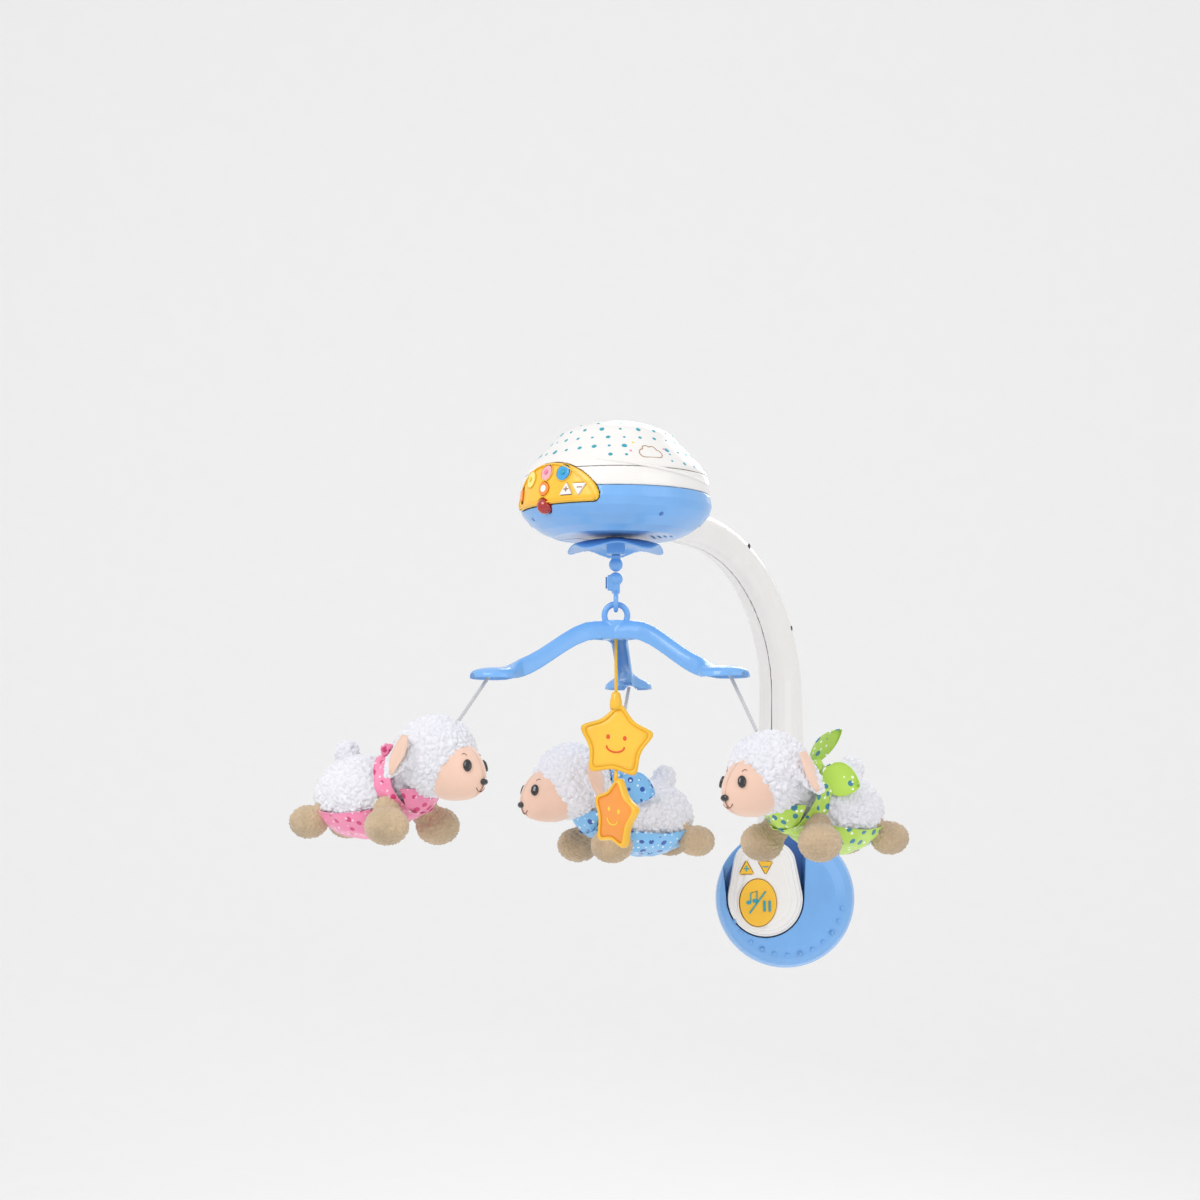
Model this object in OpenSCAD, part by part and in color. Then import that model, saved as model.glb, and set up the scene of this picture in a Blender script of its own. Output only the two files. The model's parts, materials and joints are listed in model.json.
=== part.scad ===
// Crib mobile: a star-projector head on an arched arm, a turning three-arm hanger
// with plush lambs and stars, and a moon-shaped rail clamp that stores a remote.
// Row frame: origin on the face that rests on the crib rail, +Z up, crib side at -Y.

/* [Head] */
// Radius of the projector head at its seam
head_r = 91; // [89:1:93]
// Height of the dome above the seam
dome_h = 73; // [68:1:76]
// Height of the seam above the origin
seam_z = 364; // [362:1:366]
// Turn of the control panel away from the arm's plane, in degrees
panel_turn = -16.4; // [-20:0.2:-10]
// Moulded wall of the head's shells
wall = 2.4; // [2:0.2:2.8]

/* [Arm] */
// Distance from the post to the hanger's spin axis
reach = 368; // [366:1:376]
// Turn of the arm's plane from straight across the rail, in degrees
arm_turn = -29.6; // [-32:0.2:-26]
// Thickness of the arm where it leaves the clamp
arm_d = 55; // [50:1:56]

/* [Clamp] */
// Radius of the moon housing
moon_r = 74; // [73:1:76]
// Thickness of the moon housing
moon_t = 45; // [43:1:46]
// Gap between the fixed face and the clamp pad
rail_gap = 28; // [24:1:32]
// Radius of the clamp's threaded rod
rod_r = 8; // [7:0.5:9]

/* [Hanger] */
// Distance from the spin axis to each cord hole
tip_r = 130; // [128:1:132]
// Height of the cups' lower rim
foot_z = 186; // [184:1:188]
// Height of the hub's upper face
hub_z = 246; // [245:0.5:247]

/* [Toys] */
// Diameter of the white cords
cord_d = 3.6; // [3:0.2:3.8]
// Radius of the upper star's points
star_r = 41; // [38:1:42]
// Radius of the lower star's points
small_star_r = 39; // [36:1:40]

/* [Hidden] */
$fn = 48;

// Shared places
post_x = 0;
post_y = 20;
axis_x = post_x + reach * sin(arm_turn);
axis_y = post_y - reach * cos(arm_turn);
head_yaw = arm_turn + panel_turn;
hanger_turn = 83.8;
base_z = 325;
bridge_z = 46;
clear = 0.4;
sky = "#6fa3d6";
navy = "#2f6cb3";
cream = "#efeae4";
amber = "#f5b921";
white = "#f6f4f2";
fleece = "#dcdde6";
tan = "#b99a72";
steel = "#b8bcc0";

// ---------------------------------------------------------------- helpers

// Triangles between equal rings of points, with a flat cap on each end.
module skin(rings) {
    n = len(rings[0]);
    m = len(rings);
    sides = [for (j = [0:m - 2], i = [0:n - 1])
        let (a = j * n + i, b = j * n + (i + 1) % n)
        each [[a, a + n, b], [b, a + n, b + n]]];
    caps = [[for (i = [0:n - 1]) i], [for (i = [n - 1:-1:0]) (m - 1) * n + i]];
    polyhedron(points = [for (r = rings) each r], faces = concat(sides, caps), convexity = 6);
}

function unit(v) = v / norm(v);

// One ring of a round tube at p, across direction d.
function tube_ring(p, d, r, n) =
    let (side = unit(cross(d, abs(d[2]) > 0.9 * norm(d) ? [1, 0, 0] : [0, 0, 1])), up = unit(cross(side, d)))
    [for (i = [0:n - 1]) p + r * (cos(360 * i / n) * side + sin(360 * i / n) * up)];

// A cord of diameter dia along the route's points.
module cord_tube(route, dia) {
    last = len(route) - 1;
    skin([for (i = [0:last])
        let (d = route[min(i + 1, last)] - route[max(i - 1, 0)])
        tube_ring(route[i], d, dia / 2, 8)]);
}

module at_axis(yaw = 0) {
    translate([axis_x, axis_y, 0]) rotate([0, 0, yaw]) children();
}

// A hollow body of revolution from an outer profile and an inner one.
module turned(profile) {
    rotate_extrude($fn = 96) polygon(profile);
}

// The arm's own frame: the post stands on its origin and the arm runs toward -Y.
module at_post() {
    translate([post_x, post_y, 0]) rotate([0, 0, arm_turn]) children();
}

// ---------------------------------------------------------------- clamp and moon

moon_z = -27;
remote_x = -22.5;

module from_back(depth) {
    rotate([90, 0, 0]) linear_extrude(depth) children();
}

module pear_outline(grow) {
    hull() {
        translate([remote_x, -27.5]) circle(r = 39.5 + grow);
        translate([remote_x - 8.5, 9]) circle(r = 24 + grow);
        translate([remote_x + 8.5, 9]) circle(r = 24 + grow);
    }
}

// The cradle that the remote sits in, open at the top between the horns.
module cradle_outline(grow) {
    hull() {
        translate([remote_x, -27.5]) circle(r = 40.7 + grow);
        translate([remote_x - 2, 70]) circle(r = 47 + grow);
    }
}

function moon_profile(inset) = [
    [0, 6], [moon_r - 6 - inset, 6], [moon_r - inset, 12],
    [moon_r - 0.6 - inset, 24], [moon_r - 4 - inset, 33],
    [moon_r - 11 - inset, moon_t - 4 - inset], [moon_r - 22 - inset, moon_t - inset],
    [0, moon_t - inset],
];

module moon_solid(inset) {
    translate([0, 0, moon_z]) rotate([90, 0, 0])
        rotate_extrude($fn = 96) polygon(moon_profile(inset));
}

module moon_front() {
    color(sky) difference() {
        moon_solid(0);
        difference() {
            intersection() {
                moon_solid(wall);
                translate([-90, -moon_t, -120]) cube([180, moon_t - 6, 180]);
            }
            translate([0, -5, 0]) from_back(moon_t) cradle_outline(wall);
        }
        translate([0, -15, 0]) from_back(moon_t) cradle_outline(0);
    }
}

// One moulding closes the moon, bridges the rail and comes down behind it.
module clamp_bracket() {
    color(sky) difference() {
        union() {
            translate([0, -0.8, moon_z]) from_back(4.9) circle(r = moon_r - 6.5, $fn = 96);
            translate([-28, -5.7, 26]) cube([56, 69.7, bridge_z - 26]);
            translate([-24, 50, -30]) cube([48, 14, 60]);
            translate([0, 64, 0]) rotate([-90, 0, 0]) cylinder(h = 4, r = rod_r + 6);
        }
        translate([0, 45, 0]) rotate([-90, 0, 0]) cylinder(h = 30, r = rod_r + 0.06);
        at_post() translate([0, 0, 45]) cube([24.8, 24.8, 30.8], center = true);
    }
}

module rail_pad() {
    color("#55585c") from_back(0.8) difference() {
        square([50, 40], center = true);
        for (x = [-14, 14]) translate([x, 0]) circle(r = 3);
    }
}

// A coarse moulded thread, drawn as rings on a core.
module clamp_rod() {
    pitch = 4;
    color(white) rotate([-90, 0, 0]) {
        translate([0, 0, rail_gap + 9.4]) cylinder(h = 58, r = rod_r - 1.2);
        for (k = [0:9])
            translate([0, 0, rail_gap + 12 + k * pitch]) {
                cylinder(h = 1.2, r1 = rod_r - 1.2, r2 = rod_r);
                translate([0, 0, 1.2]) cylinder(h = 0.8, r = rod_r);
                translate([0, 0, 2]) cylinder(h = 1.2, r1 = rod_r, r2 = rod_r - 1.2);
            }
    }
}

module clamp_jaw() {
    color(sky) rotate([-90, 0, 0]) translate([0, 0, rail_gap + 3]) difference() {
        union() {
            cylinder(h = 4, r = 18);
            cylinder(h = 6, r = 10);
        }
        translate([0, 0, 6.01]) cylinder(h = 4, r = 4);
    }
}

module clamp_pad() {
    color("#55585c") rotate([-90, 0, 0]) translate([0, 0, rail_gap]) difference() {
        cylinder(h = 3, r = 18);
        for (a = [0:90:270]) rotate([0, 0, a]) translate([11, 0, -1]) cylinder(h = 2, r = 2);
    }
}

module clamp_knob() {
    lobes = 8;
    color(sky) rotate([-90, 0, 0]) translate([0, 0, rail_gap + 56]) difference() {
        union() {
            cylinder(h = 18, r = 20);
            for (k = [0:lobes - 1])
                rotate([0, 0, k * 360 / lobes]) translate([20, 0, 0]) cylinder(h = 16, r = 5);
        }
        translate([0, 0, -1]) cylinder(h = 12.5, r = rod_r - 1.18);
    }
}

// ---------------------------------------------------------------- remote

module remote_slab(grow, from_y, to_y) {
    translate([0, -from_y, 0]) from_back(to_y - from_y) pear_outline(grow);
}

module remote_front() {
    color(white) difference() {
        union() {
            remote_slab(0, 32, 45);
            remote_slab(-2.5, 45, 49);
            remote_slab(-6.5, 49, 52.5);
            remote_slab(-13, 52.5, 55);
        }
        remote_slab(-2.4, 31, 44);
        remote_slab(-8, 43, 49);
        for (k = [0:2]) remote_key(k, 0.4, 40, 60);
        translate([-32, -40, 17]) rotate([90, 0, 0]) cylinder(h = 30, r = 1.5);
    }
}

module remote_back() {
    color(white) difference() {
        union() {
            remote_slab(-3, 15.4, 19);
            remote_slab(0, 19, 31.8);
        }
        remote_slab(-5.4, 18, 22);
        remote_slab(-2.4, 21, 33);
    }
}

module remote_board() {
    color("#3c7a4a") remote_slab(-6, 36, 37.6);
}

module triangle(size, flip) {
    rotate(flip ? 180 : 0)
        polygon([[-size * 0.62, -size * 0.5], [size * 0.62, -size * 0.5], [0, size * 0.62]]);
}

module remote_key(which, grow, from_y, to_y) {
    translate([0, -from_y, 0]) from_back(to_y - from_y) {
        if (which == 0) translate([-31, -31]) scale([0.78, 1]) circle(r = 24.5 + grow);
        if (which == 1) translate([-43, 5]) offset(grow) triangle(12, false);
        if (which == 2) translate([-23, 6]) offset(grow) triangle(12, true);
    }
}

module remote_button(which, to_y) {
    color(amber) remote_key(which, 0, 40, to_y);
}

// ---------------------------------------------------------------- arm

// The arm's centreline: up the post, over in a quarter bend, then level into the head.
arm_level = 350;
arm_path = [[0, 190], [0, 278], [93, arm_level], [208, arm_level]];
arm_end = 286;
function bezier(p, s) =
    pow(1 - s, 3) * p[0] + 3 * s * pow(1 - s, 2) * p[1] + 3 * s * s * (1 - s) * p[2] + pow(s, 3) * p[3];
function bezier_dir(p, s) =
    unit(pow(1 - s, 2) * (p[1] - p[0]) + 2 * s * (1 - s) * (p[2] - p[1]) + s * s * (p[3] - p[2]));
function arm_depth(u) = arm_d - 24 * u;

// The right half of the tube's section, with its centre and direction in the arm's plane.
function half_ring(centre, dir, depth) =
    let (n = 10, q = 2.3, out = [-dir[1], dir[0]], wide = depth * 0.92)
    let (arc = [for (i = [0:n]) let (a = -90 + 180 * i / n)
        [pow(abs(cos(a)), 2 / q), sign(sin(a)) * pow(abs(sin(a)), 2 / q)]])
    let (ring = concat(
        [for (c = arc) [0.15 + c[0] * wide / 2, each (centre + out * c[1] * depth / 2)]],
        [for (i = [n:-1:0]) let (c = arc[i])
            [0.15 + c[0] * (wide / 2 - wall), each (centre + out * c[1] * (depth / 2 - wall))]]))
    [for (p = ring) [p[0], -p[1], p[2]]];

module arm_half() {
    rings = concat(
        [for (z = [bridge_z + 0.3, 118]) half_ring([0, z], [0, 1], arm_depth(0.28 * (z - bridge_z) / 144))],
        [for (k = [0:14]) let (s = k / 14)
            half_ring(bezier(arm_path, s), bezier_dir(arm_path, s), arm_depth(0.28 + 0.56 * s))],
        [half_ring([arm_end, arm_level], [1, 0], arm_depth(1))]);
    skin(rings);
}

module arm_right() {
    color(cream) at_post() arm_half();
}

module arm_left() {
    color(cream) at_post() mirror([1, 0, 0]) arm_half();
}

// A square tenon joins the arm to the bracket, and a second one joins it to the head.
module arm_tenon() {
    color("#d9d5cf") at_post() {
        translate([0, 0, 62]) cube([24, 24, 60], center = true);
        translate([0, -278, arm_level]) cube([18, 24, 18], center = true);
    }
}

module arm_screws() {
    color(steel) at_post() for (p = [[0, 110, 19], [16, 266, 16], [120, 342, 13]])
        translate([p[2] - 6, -p[0], p[1]]) rotate([0, 90, 0]) cylinder(h = 3, r = 1.6);
}

// ---------------------------------------------------------------- head

skirt_top = seam_z + 18;
// The dome's outline as shares of its radius and height: a sloping shoulder under a low crown.
dome_shares = [
    [1, 0], [0.993, 0.036], [0.974, 0.091], [0.94, 0.164], [0.893, 0.255], [0.832, 0.364], [0.768, 0.473],
    [0.7, 0.582], [0.627, 0.727], [0.56, 0.8], [0.458, 0.873], [0.39, 0.909], [0.305, 0.945], [0.22, 0.973],
    [0.12, 0.992], [0, 1],
];
function dome_profile(inset) = [for (p = dome_shares)
    [(head_r - 2.5 - inset) * p[0], skirt_top + (dome_h - 18 - inset) * p[1]]];

module arm_port(grow) {
    at_post() translate([0, -250, arm_level]) rotate([90, 0, 0]) linear_extrude(60)
        offset(9) square([11 + 2 * grow, 13.4 + 2 * grow], center = true);
}

module dome_lens() {
    color(white) difference() {
        at_axis() difference() {
            turned(concat([[0, skirt_top + 0.3]], [for (p = dome_profile(0)) [p[0], p[1] + 0.3]]));
            turned(concat([[0, skirt_top]], dome_profile(wall)));
        }
        at_axis() panel_block(clear);
    }
}

module dome_skirt() {
    color(white) difference() {
        at_axis() turned([
            [head_r, seam_z + 0.2], [head_r + 0.2, seam_z + 5],
            [head_r - 0.8, seam_z + 12], [head_r - 2.5, skirt_top],
            [head_r - 5.4, skirt_top], [head_r - 5.4, skirt_top - 3], [head_r - 4, skirt_top - 6],
            [head_r - 3, seam_z + 5], [head_r - 3, seam_z + 0.2]]);
        at_axis() panel_block(clear);
        arm_port(clear);
    }
}

base_outer = [
    [0, base_z], [60, base_z], [72, base_z + 5], [83, base_z + 13],
    [head_r - 1, base_z + 21], [head_r + 1.6, base_z + 29], [head_r, seam_z],
];
base_inner = [
    [head_r - wall - 0.3, seam_z], [head_r + 1.4 - wall, base_z + 29], [head_r - 3.4, base_z + 22],
    [81.5, base_z + 15.2], [71, base_z + 7.6], [59.6, base_z + wall], [0, base_z + wall],
];

module base_shell() {
    color(sky) difference() {
        at_axis() turned(concat(base_outer, base_inner));
        at_axis() translate([0, 0, base_z - 1]) cylinder(h = 6, r = 9);
        at_axis(head_yaw + 90) translate([0, 42, base_z]) cube([50.8, 26.8, 12], center = true);
        at_axis() panel_block(clear);
        arm_port(clear);
        at_axis(head_yaw + 35) for (k = [0:3])
            translate([36 + 6 * k, 0, base_z]) cube([2.2, 26 - 4 * k, 8], center = true);
        at_axis(head_yaw) translate([-3, -head_r + 1, seam_z - 16.2]) sphere(r = 8.3);
    }
}

// The panel's outline in the head's own front view: width across, height up.
module panel_outline(grow) {
    offset(grow + 6) offset(-6) intersection() {
        translate([0, seam_z - 16]) scale([1, 0.74]) circle(r = 55, $fn = 96);
        translate([-54, seam_z - 15]) square([108, 60]);
    }
}

module panel_block(grow) {
    rotate([0, 0, head_yaw]) rotate([90, 0, 0]) translate([0, 0, 30])
        linear_extrude(90) panel_outline(grow);
}

// The head's outside as one profile, from the underside up to the dome.
function head_skin(out) = [
    [0, base_z + 10], [83 + out, base_z + 13], [head_r - 1 + out, base_z + 21],
    [head_r + 1.6 + out, base_z + 29], [head_r + out, seam_z + 5], [head_r - 2.5 + out, skirt_top],
    [head_r - 5.4 + out, seam_z + 24], [head_r - 14 + out, seam_z + 34], [0, seam_z + 44],
];

module control_panel() {
    color(amber) difference() {
        at_axis() intersection() {
            difference() {
                turned(head_skin(1.4));
                turned(head_skin(-1.6));
            }
            panel_block(0);
        }
        for (k = [0:6]) panel_key(k, 0.45);
        at_axis(head_yaw) translate([-3, -head_r + 1, seam_z - 16.2]) sphere(r = 8.3);
    }
}

// Keys of the panel: [across, up, half width, half height, kind], in the head's front view.
panel_keys = [
    [-23.5, seam_z + 11, 6.6, 7.6, 0], [0, seam_z + 15, 6.6, 7.2, 0], [20.5, seam_z + 13, 6.6, 7.2, 0],
    [25.5, seam_z - 3, 6, 6, 1], [38, seam_z - 3, 6, 6, 2], [-1, seam_z - 0.4, 6.4, 6.4, 0],
    [-42, seam_z - 2, 3.4, 5, 3],
];

module key_outline(k, grow) {
    key = panel_keys[k];
    translate([key[0], key[1]]) {
        if (key[4] == 0) scale([1, (key[3] + grow) / (key[2] + grow)]) circle(r = key[2] + grow);
        if (key[4] == 1) offset(grow) triangle(10, false);
        if (key[4] == 2) offset(grow) triangle(10, true);
        if (key[4] == 3) square([2 * (key[2] + grow), 2 * (key[3] + 7 * grow)], center = true);
    }
}

module panel_key(k, grow) {
    at_axis(head_yaw) rotate([90, 0, 0]) translate([0, 0, 50])
        linear_extrude(50) key_outline(k, grow);
}

module head_key(k, out, shade) {
    color(shade) intersection() {
        panel_key(k, 0);
        at_axis() difference() {
            turned(head_skin(out));
            turned(head_skin(-5));
        }
    }
}

module sound_sensor() {
    at_axis(head_yaw) color("#a01818") translate([-3, -head_r + 1, seam_z - 16.2]) sphere(r = 7.8);
}

module battery_door() {
    color(sky) at_axis(head_yaw + 90) translate([0, 42, base_z + 1.2]) cube([50, 26, 2.4], center = true);
}

module batteries() {
    color("#8f959c") at_axis(head_yaw + 90) for (k = [-1:1])
        translate([-25, 46 + k * 14.8, base_z + 16.2]) rotate([0, 90, 0]) {
            cylinder(h = 49, r = 7.2);
            translate([0, 0, 49]) cylinder(h = 1.2, r = 2.7);
        }
}

module speaker() {
    color("#3b3e42") at_axis(head_yaw + 35) translate([49, 0, base_z + 8.4]) {
        cylinder(h = 3, r = 17);
        translate([0, 0, 3]) cylinder(h = 5, r1 = 16, r2 = 9);
        translate([0, 0, 8]) cylinder(h = 5, r = 8);
    }
}

module circuit_board() {
    color("#3c7a4a") at_axis(head_yaw) translate([0, 0, seam_z + 2]) difference() {
        cube([92, 80, 1.6], center = true);
        for (x = [-40, 40], y = [-34, 34]) translate([x, y, -2]) cylinder(h = 4, r = 1.6);
    }
}

module lamp() {
    color("#cfe8f5") at_axis() translate([0, 0, seam_z + 3.1]) {
        cylinder(h = 4, r = 12);
        translate([0, 0, 4]) cylinder(h = 14, r = 5);
        translate([0, 0, 18]) sphere(r = 5);
    }
}

gear_z = base_z + 9;
gear_gap = 26.6;
motor_a = head_yaw + 100;
module motor() {
    color(steel) at_axis(motor_a) translate([gear_gap, 0, gear_z + 5.2]) {
        cylinder(h = 14, r = 8);
        translate([0, 0, -5.2]) cylinder(h = 5.2, r = 1);
    }
}

// The plate that carries the shaft in a running fit.
module gear_plate() {
    color(cream) at_axis() difference() {
        translate([0, 0, base_z + 2.7]) cylinder(h = 4, r = 16);
        translate([0, 0, base_z + 2]) cylinder(h = 6, r = 4.05);
    }
}

// A spur gear with straight-sided teeth.
module spur(teeth, root_r, out_r, bore_r, thick, phase) {
    linear_extrude(thick) difference() {
        polygon([for (k = [0:teeth - 1], c = [[-0.30, root_r], [-0.13, out_r], [0.13, out_r], [0.30, root_r]])
            let (a = phase + (k + c[0]) * 360 / teeth) [c[1] * cos(a), c[1] * sin(a)]]);
        circle(r = bore_r);
    }
}

module motor_pinion() {
    color("#e9e4d8") at_axis(motor_a) translate([gear_gap, 0, gear_z]) spur(8, 3.4, 5.9, 1.05, 4, 0);
}

module drive_gear() {
    color("#e9e4d8") at_axis(motor_a) translate([0, 0, gear_z]) spur(32, 19.4, 22, 4, 4, 360 / 64);
}

module drive_shaft() {
    color(steel) at_axis() translate([0, 0, base_z - 14]) cylinder(h = 30, r = 4);
}

module head_screws() {
    color(steel) at_axis(head_yaw) for (a = [8, 140, 218, 330])
        rotate([0, 0, a]) translate([76, 0, base_z + 17]) cylinder(h = 10, r = 1.6);
}

// ---------------------------------------------------------------- collar, link and hook

collar_top = base_z - 1.5;

// The collar's rim: five soft waves, at angle a and share of the way out.
function collar_ring(share, lower) = [for (i = [0:39])
    let (a = i * 9, w = cos(5 * a))
    let (r = 13 + (32.5 + 2.2 * w) * share, z = collar_top - (9 + 3 * w) * pow(share, 2))
    [r * cos(a), r * sin(a), z - lower]];

module collar() {
    shares = [0, 0.35, 0.65, 0.85, 1];
    color(sky) at_axis(20) difference() {
        union() {
            skin([for (s = shares) collar_ring(s, 2), for (k = [4:-1:0]) collar_ring(shares[k], 0)]);
            translate([0, 0, collar_top - 15]) cylinder(h = 14, r = 9);
        }
        translate([0, 0, collar_top - 30]) cylinder(h = 40, r = 4);
    }
}

ball_z = 299;
module upper_link() {
    color(sky) at_axis() {
        translate([0, 0, ball_z]) cylinder(h = base_z - 16.6 - ball_z - 0.4, r = 4.5);
        translate([0, 0, ball_z]) sphere(r = 6.7);
    }
}

// The hook: a ball, a rod and a closed loop that carries the hanger's ring.
loop_r = 8.5;
loop_z = 263.7;
module hook() {
    color(sky) at_axis() {
        translate([0, 0, 285.2]) sphere(r = 6.7);
        translate([0, 0, loop_z + loop_r - 1]) cylinder(h = 16, r = 4);
        translate([0, 0, loop_z]) rotate([90, 0, 90])
            rotate_extrude() translate([loop_r, 0]) circle(r = 2.4, $fn = 24);
        translate([-8, -3, 274]) cube([7, 6, 15]);
    }
}

module hook_gate() {
    color(navy) at_axis() translate([-9.9, -2.4, 276]) cube([1.6, 4.8, 11]);
}

// ---------------------------------------------------------------- hanger

// Height of an arm's lower edge at radius r: level at the hub, then down to the cup.
function ease(t) = t * t * (3 - 2 * t);
function arm_base(r) = foot_z + (hub_z - 19.5 - foot_z) * (1 - ease(min(1, max(0, (r - 20) / 92))));
function foot_share(r) = ease(min(1, max(0, (r - 96) / 24)));
function tip_round(r) = r > 124 ? sqrt(max(0.04, 1 - pow((r - 124) / 24, 2))) : 1;
function hub_share(r) = ease(min(1, max(0, (34 - r) / 34)));
function arm_half_width(r) = (8 + 5 * hub_share(r) + 16 * foot_share(r)) * tip_round(r);
function arm_half_height(r) = (9 - 3.4 * foot_share(r)) * (0.4 + 0.6 * tip_round(r));

// A channel section: crowned on top and open below.
function channel(r) =
    let (w = arm_half_width(r), h = arm_half_height(r), z = arm_base(r) + h, t = 2.2, n = 10)
    concat(
        [for (i = [0:n]) let (a = 180 * i / n)
            [r, w * cos(a), z - h + (2 * h) * pow(max(0, sin(a)), 0.7)]],
        [for (i = [n:-1:0]) let (a = 180 * i / n)
            [r, max(0.6, w - t) * cos(a), z - h + (2 * h - t) * pow(max(0, sin(a)), 0.7)]]);

module hanger_arm(a) {
    radii = [6, 20, 32, 44, 56, 68, 80, 90, 99, 107, 114, 121, 127, 133, 138, 142, 145, 147];
    rotate([0, 0, a]) {
        skin([for (r = radii) channel(r)]);
        translate([tip_r, 0, foot_z + 4]) cylinder(h = 5.4, r = 5);
    }
}

ring_z = 250;
module hanger() {
    color(sky) at_axis(hanger_turn) difference() {
        union() {
            for (k = [0:2]) hanger_arm(120 * k);
            translate([0, 0, hub_z - 19]) cylinder(h = 18, r = 13);
            rotate([0, 0, -hanger_turn]) translate([0, 0, ring_z]) rotate([90, 0, 0])
                rotate_extrude() translate([11, 0]) circle(r = 3, $fn = 24);
        }
        translate([0, 0, hub_z - 40]) cylinder(h = 37.6, r1 = 8.4, r2 = 3);
    }
}

// ---------------------------------------------------------------- stars

star_z = 129;
small_star_z = 60;

function star_points(r) = [for (k = [0:9])
    let (a = 90 + 36 * k, q = k % 2 == 0 ? r : r * 0.6) [q * cos(a), q * sin(a)]];

module star_plate(r, thick) {
    rotate([90, 0, 0]) translate([0, 0, -thick / 2]) linear_extrude(thick)
        offset(4) offset(-7) offset(3) polygon(star_points(r));
}

star_route = [for (k = [0:8]) [0, 0, hub_z - 3 - k * (hub_z - 180) / 8]];

module star_cord() {
    color(amber) at_axis() cord_tube(star_route, 3.2);
}

module upper_star() {
    color(amber) at_axis() {
        translate([0, 0, star_z]) rotate([0, 6, 0]) star_plate(star_r, 7);
        translate([0, 0, star_z + 30]) cylinder(h = 17.6, r = 4.6);
    }
}

module lower_star() {
    color(amber) at_axis(-55) {
        translate([0, 0, small_star_z]) rotate([0, 11, 0]) star_plate(small_star_r, 7);
        translate([0, 0, small_star_z + 26]) cylinder(h = 16, r = 1.6);
    }
}

// ---------------------------------------------------------------- lambs

// Each lamb: [arm number, head centre, heading, lower end of its cord].
lamb_a = [1, [-344, -380, 109], -34, [-328.9, -366.7, 145.2]];
lamb_b = [0, [-231, -170, 90], 206.8, [-184.7, -160, 97]];
lamb_c = [2, [-46, -393, 94], 219.7, [-53, -388, 135.6]];

function cord_top(l) =
    let (a = hanger_turn + 120 * l[0])
    [axis_x + tip_r * cos(a), axis_y + tip_r * sin(a), foot_z + 2.4];

module lamb_cord(l) {
    color("white") cord_tube([for (k = [0:8]) cord_top(l) + (l[3] - cord_top(l)) * k / 8], cord_d);
}

module ball(place, size) {
    translate(place) hull() scale(size) sphere(r = 1, $fn = 20);
}

module on_lamb(l) {
    translate(l[1]) rotate([0, 0, l[2]]) children();
}

module fleece_shape(grow) {
    ball([0, 0, 0], [43 + grow, 38 + grow, 40 + grow]);
    ball([-88, 0, -31], [54 + grow, 41 + grow, 38 + grow]);
    ball([-42, 0, -20], [30 + grow, 27 + grow, 27 + grow]);
}

module lamb_body(l) {
    color(fleece) on_lamb(l) {
        fleece_shape(0);
        ball([-110, 0, 7], [12.5, 12.5, 12.5]);
        for (s = [-1, 1]) ball([-8, s * 39, 2], [12, 7, 22]);
    }
}

module feet_shape(grow) {
    for (s = [-1, 1]) {
        ball([-32, s * 38, -60], [26 + grow, 19 + grow, 18 + grow]);
        ball([-134, s * 28, -56], [22 + grow, 18 + grow, 17 + grow]);
    }
}

module lamb_feet(l) {
    color(tan) on_lamb(l) difference() {
        feet_shape(0);
        fleece_shape(clear);
    }
}

module lamb_scarf(l, shade) {
    color(shade) on_lamb(l) difference() {
        translate([-41, 0, -22]) rotate([0, 72, 0]) rotate_extrude($fn = 32)
            translate([33, 0]) circle(r = 6, $fn = 14);
        fleece_shape(clear);
        feet_shape(clear);
        translate([-46, 12, 4]) cylinder(h = 30, r = 4.6);
    }
}

// ---------------------------------------------------------------- nodes

moon_front();
clamp_bracket();
rail_pad();
clamp_rod();
clamp_jaw();
clamp_pad();
clamp_knob();
remote_front();
remote_back();
remote_board();
remote_button(0, 56.4);  // remote_play_button
remote_button(1, 55.4);  // remote_plus_button
remote_button(2, 55.4);  // remote_minus_button
arm_left();
arm_right();
arm_screws();
arm_tenon();
dome_lens();
dome_skirt();
base_shell();
control_panel();
battery_door();
batteries();
speaker();
circuit_board();
lamp();
motor();
gear_plate();
motor_pinion();
drive_gear();
drive_shaft();
head_screws();
head_key(0, 2.6, "#f2e27a");  // lullaby_button
head_key(1, 2.6, "#f3c3d0");  // nature_button
head_key(2, 2.6, "#3fa7dc");  // voice_button
head_key(3, 2.6, white);  // volume_up_button
head_key(4, 2.6, white);  // volume_down_button
head_key(5, 3, "#e0903a");  // timer_button
head_key(6, 3, "#e8a02a");  // power_switch
sound_sensor();
collar();
upper_link();
hook();
hook_gate();
hanger();
star_cord();
upper_star();
lower_star();
lamb_cord(lamb_a);  // lamb_a_cord
lamb_body(lamb_a);  // lamb_a_body
lamb_feet(lamb_a);  // lamb_a_feet
lamb_scarf(lamb_a, "#e87fa4");  // lamb_a_scarf
lamb_cord(lamb_b);  // lamb_b_cord
lamb_body(lamb_b);  // lamb_b_body
lamb_feet(lamb_b);  // lamb_b_feet
lamb_scarf(lamb_b, "#4fa0d8");  // lamb_b_scarf
lamb_cord(lamb_c);  // lamb_c_cord
lamb_body(lamb_c);  // lamb_c_body
lamb_feet(lamb_c);  // lamb_c_feet
lamb_scarf(lamb_c, "#a9cf58");  // lamb_c_scarf
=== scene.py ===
import math
import json
import bpy
from mathutils import Vector, Matrix, noise


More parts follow.
